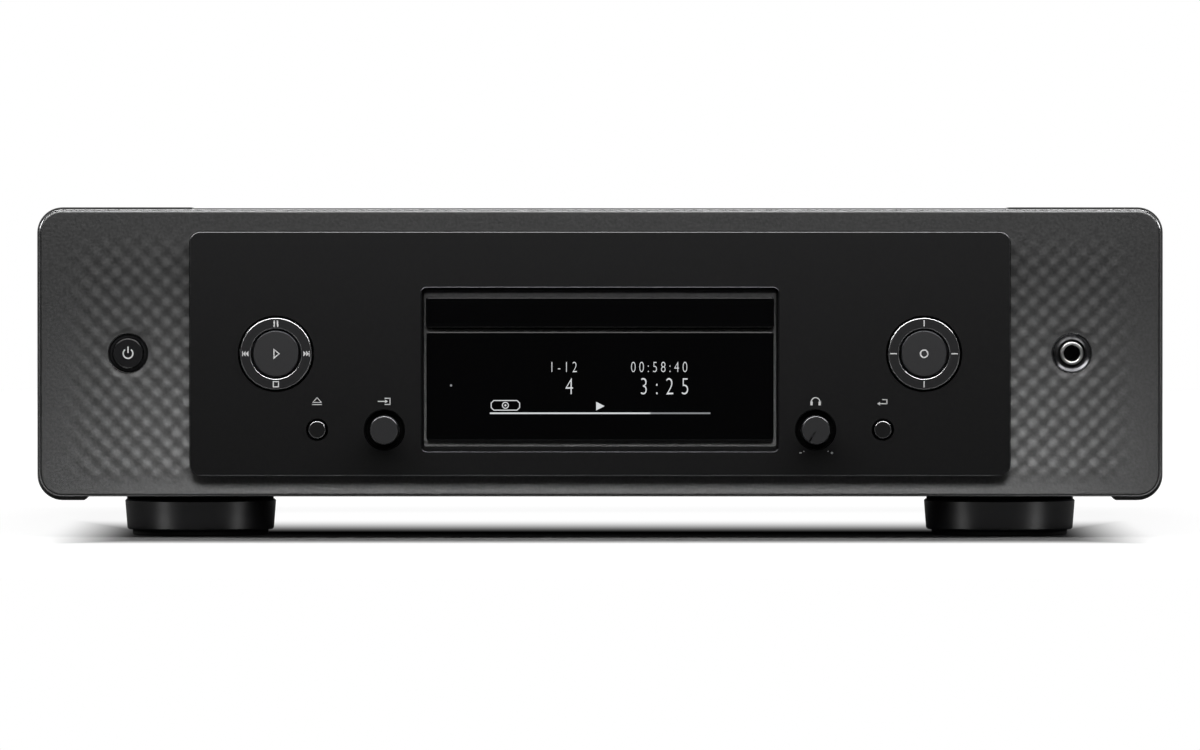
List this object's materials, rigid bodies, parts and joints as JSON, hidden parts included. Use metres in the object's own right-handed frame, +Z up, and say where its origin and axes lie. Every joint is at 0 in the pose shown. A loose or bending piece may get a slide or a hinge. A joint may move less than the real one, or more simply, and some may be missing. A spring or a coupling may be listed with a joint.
{
  "type": "disc player",
  "caption": "Full-size hi-fi disc player with a motorised tray, a floating centre panel with display, ring controls, knobs, headphone socket and round feet",
  "frame": {"origin": "on the floor, under the middle of the bounding box", "axes": "+X to the viewer's right, the front faces -Y, +Z up"},
  "size_m": [0.443, 0.424, 0.13],
  "materials": {
    "frame_plastic": "satin black moulding with a soft wave relief",
    "anodised_panel": "fine satin black anodised plate",
    "window_acrylic": "gloss black pane over the display",
    "tray_gloss": "gloss black",
    "black_gloss": "gloss black",
    "collar_metal": "turned grey metal",
    "jack_chrome": "bright nickel plate",
    "gold_plate": "gold plate",
    "control_metal": "dark satin anodised",
    "ring_metal": "dark satin anodised",
    "control_zinc": "plain die-cast metal",
    "foot_plastic": "satin black",
    "black_rubber": "dull black",
    "screw_black": "black oxide",
    "motor_steel": "bright steel",
    "chassis_steel": "zinc plated sheet",
    "case_paint": "fine textured black paint",
    "circuit_board": "green solder resist",
    "capacitor_sleeve": "printed black sleeve",
    "winding_tape": "yellow winding tape",
    "socket_plastic": "black moulding",
    "loader_plastic": "fine textured black moulding",
    "gear_plastic": "natural acetal"
  },
  "bodies": {
    "chassis": {"front_frame": "frame_plastic", "center_panel": "anodised_panel", "display_window": "window_acrylic", "display_module": "circuit_board", "front_subchassis": "chassis_steel", "left_switch_board": "circuit_board", "right_switch_board": "circuit_board", "power_button_ring": "black_gloss", "headphone_ring": "collar_metal", "headphone_jack": "jack_chrome", "input_encoder": "control_zinc", "phones_pot": "control_zinc", "front_feet": "foot_plastic", "rear_feet": "foot_plastic", "foot_pads": "black_rubber", "foot_screws": "motor_steel", "case_screws": "screw_black", "toroidal_transformer": "winding_tape", "transformer_clamp": "control_zinc", "power_supply_board": "circuit_board", "smoothing_capacitors": "capacitor_sleeve", "main_board": "circuit_board", "audio_board": "circuit_board", "mains_inlet": "socket_plastic", "phono_jacks": "jack_chrome", "optical_sockets": "socket_plastic", "data_ports": "jack_chrome", "aerial_sockets": "gold_plate", "loader_base": "loader_plastic", "clamp_bridge": "chassis_steel", "loading_motor": "motor_steel", "drive_belt": "black_rubber", "bottom_chassis": "chassis_steel", "rear_panel": "case_paint", "top_cover": "case_paint"},
    "tray": {"disc_tray": "loader_plastic", "tray_front": "tray_gloss"},
    "loading_gear": {"loading_gear": "gear_plastic"},
    "motor_pulley": {"motor_pulley": "gear_plastic"},
    "traverse": {"traverse_base": "control_zinc", "spindle_motor": "motor_steel", "guide_rods": "motor_steel", "sled_motor": "motor_steel"},
    "turntable": {"turntable": "loader_plastic"},
    "pickup": {"optical_pickup": "control_zinc"},
    "lead_screw": {"lead_screw": "motor_steel"},
    "clamper": {"clamper": "loader_plastic"},
    "power_button": {"power_button": "black_gloss"},
    "play_button": {"play_button": "control_metal"},
    "transport_carrier": {"transport_ring_carrier": "control_zinc"},
    "transport_ring": {"transport_ring": "ring_metal"},
    "eject_button": {"eject_button": "control_metal"},
    "input_knob": {"input_knob": "control_metal"},
    "phones_knob": {"phones_knob": "control_metal"},
    "enter_button": {"enter_button": "control_metal"},
    "cursor_carrier": {"cursor_ring_carrier": "control_zinc"},
    "cursor_ring": {"cursor_ring": "ring_metal"},
    "back_button": {"back_button": "control_metal"}
  },
  "joints": [
    {"name": "tray_slide", "type": "slide", "parent": "chassis", "child": "tray", "axis": [0, -1, 0], "range_m": [0, 0.15]},
    {"name": "loading_gear_spin", "type": "hinge", "parent": "chassis", "child": "loading_gear", "pos_m": [-0.0475, -0.1403, 0.08375], "axis": [0, 0, 1], "range_deg": [-2, 1077]},
    {"name": "motor_pulley_spin", "type": "hinge", "parent": "chassis", "child": "motor_pulley", "pos_m": [-0.012, -0.1513, 0.05675], "axis": [0, 0, 1], "range_deg": [-2, 3379]},
    {"name": "traverse_lift", "type": "slide", "parent": "chassis", "child": "traverse", "axis": [0, 0, 1], "range_m": [0, 0.0102]},
    {"name": "spindle_spin", "type": "hinge", "parent": "traverse", "child": "turntable", "pos_m": [0, -0.115, 0.08255], "axis": [0, 0, 1], "continuous": true},
    {"name": "sled_slide", "type": "slide", "parent": "traverse", "child": "pickup", "axis": [0, 1, 0], "range_m": [0, 0.034]},
    {"name": "lead_screw_spin", "type": "hinge", "parent": "traverse", "child": "lead_screw", "pos_m": [0.029, -0.085, 0.06425], "axis": [0, 1, 0], "range_deg": [-2, 4083]},
    {"name": "clamper_spin", "type": "hinge", "parent": "chassis", "child": "clamper", "pos_m": [0, -0.115, 0.09565], "axis": [0, 0, 1], "continuous": true},
    {"name": "power_press", "type": "slide", "parent": "chassis", "child": "power_button", "axis": [0, 1, 0], "range_m": [0, 0.0015], "stiffness_N_per_m": 400},
    {"name": "play_press", "type": "slide", "parent": "chassis", "child": "play_button", "axis": [0, 1, 0], "range_m": [0, 0.0006], "stiffness_N_per_m": 400},
    {"name": "enter_press", "type": "slide", "parent": "chassis", "child": "enter_button", "axis": [0, 1, 0], "range_m": [0, 0.0006], "stiffness_N_per_m": 400},
    {"name": "eject_press", "type": "slide", "parent": "chassis", "child": "eject_button", "axis": [0, 1, 0], "range_m": [0, 0.0006], "stiffness_N_per_m": 400},
    {"name": "back_press", "type": "slide", "parent": "chassis", "child": "back_button", "axis": [0, 1, 0], "range_m": [0, 0.0006], "stiffness_N_per_m": 400},
    {"name": "transport_tilt_up_down", "type": "hinge", "parent": "chassis", "child": "transport_carrier", "pos_m": [-0.127, -0.1919, 0.07265], "axis": [1, 0, 0], "range_deg": [-1.5, 1.5], "stiffness_Nm_per_rad": 0.4},
    {"name": "transport_tilt_left_right", "type": "hinge", "parent": "transport_carrier", "child": "transport_ring", "pos_m": [-0.127, -0.1919, 0.07265], "axis": [0, 0, 1], "range_deg": [-1.5, 1.5], "stiffness_Nm_per_rad": 0.4},
    {"name": "cursor_tilt_up_down", "type": "hinge", "parent": "chassis", "child": "cursor_carrier", "pos_m": [0.127, -0.1919, 0.07265], "axis": [1, 0, 0], "range_deg": [-1.5, 1.5], "stiffness_Nm_per_rad": 0.4},
    {"name": "cursor_tilt_left_right", "type": "hinge", "parent": "cursor_carrier", "child": "cursor_ring", "pos_m": [0.127, -0.1919, 0.07265], "axis": [0, 0, 1], "range_deg": [-1.5, 1.5], "stiffness_Nm_per_rad": 0.4},
    {"name": "input_knob_turn", "type": "hinge", "parent": "chassis", "child": "input_knob", "pos_m": [-0.0845, -0.212, 0.04285], "axis": [0, 1, 0], "continuous": true},
    {"name": "phones_knob_turn", "type": "hinge", "parent": "chassis", "child": "phones_knob", "pos_m": [0.0845, -0.212, 0.04285], "axis": [0, 1, 0], "range_deg": [0, 300]}
  ],
  "couplings": [
    {"joint": "loading_gear_spin", "follows": "tray_slide", "rad_per_m": 125},
    {"joint": "motor_pulley_spin", "follows": "tray_slide", "rad_per_m": 392.86},
    {"joint": "lead_screw_spin", "follows": "sled_slide", "rad_per_m": 2094.4},
    {"joint": "clamper_spin", "follows": "spindle_spin", "ratio": 1}
  ]
}
